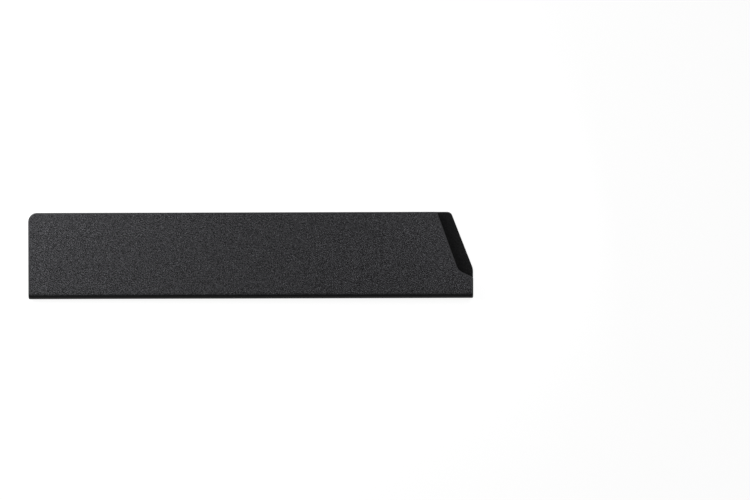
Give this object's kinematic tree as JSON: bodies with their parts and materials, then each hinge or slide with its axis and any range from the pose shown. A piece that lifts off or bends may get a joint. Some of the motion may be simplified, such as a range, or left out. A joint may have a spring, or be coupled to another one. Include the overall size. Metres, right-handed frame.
{
  "type": "knife blade guard",
  "caption": "Slim guard for a kitchen knife blade: a springy plastic sheet folded into a felt-lined U, open along the spine side and at both ends, with a slanted heel cut at the handle end.",
  "frame": {"origin": "in the plane that the back panel lies on, under the middle of the guard's box", "axes": "+X from the tip end to the handle end, +Y from the fold to the open mouth, +Z from the back panel up to the front panel"},
  "size_m": [0.25, 0.0485, 0.007],
  "materials": {
    "shell_plastic": "black, finely grained on the outside, smooth on the rounded edges",
    "felt_lining": "black needled felt, short fibres",
    "adhesive_film": "thin clear adhesive over black plastic, slightly glossy at its edge"
  },
  "bodies": {
    "back_leaf": {"back_panel": "shell_plastic", "back_fold": "shell_plastic", "back_felt": "felt_lining", "back_fold_felt": "felt_lining", "back_adhesive_film": "adhesive_film"},
    "front_leaf": {"front_panel": "shell_plastic", "front_fold": "shell_plastic", "front_felt": "felt_lining", "front_fold_felt": "felt_lining", "front_adhesive_film": "adhesive_film"}
  },
  "joints": [
    {"name": "fold_flex", "type": "hinge", "parent": "back_leaf", "child": "front_leaf", "pos_m": [0, -0.02425, 0.0035], "axis": [1, 0, 0], "range_deg": [-2, 10], "stiffness_Nm_per_rad": 4}
  ]
}
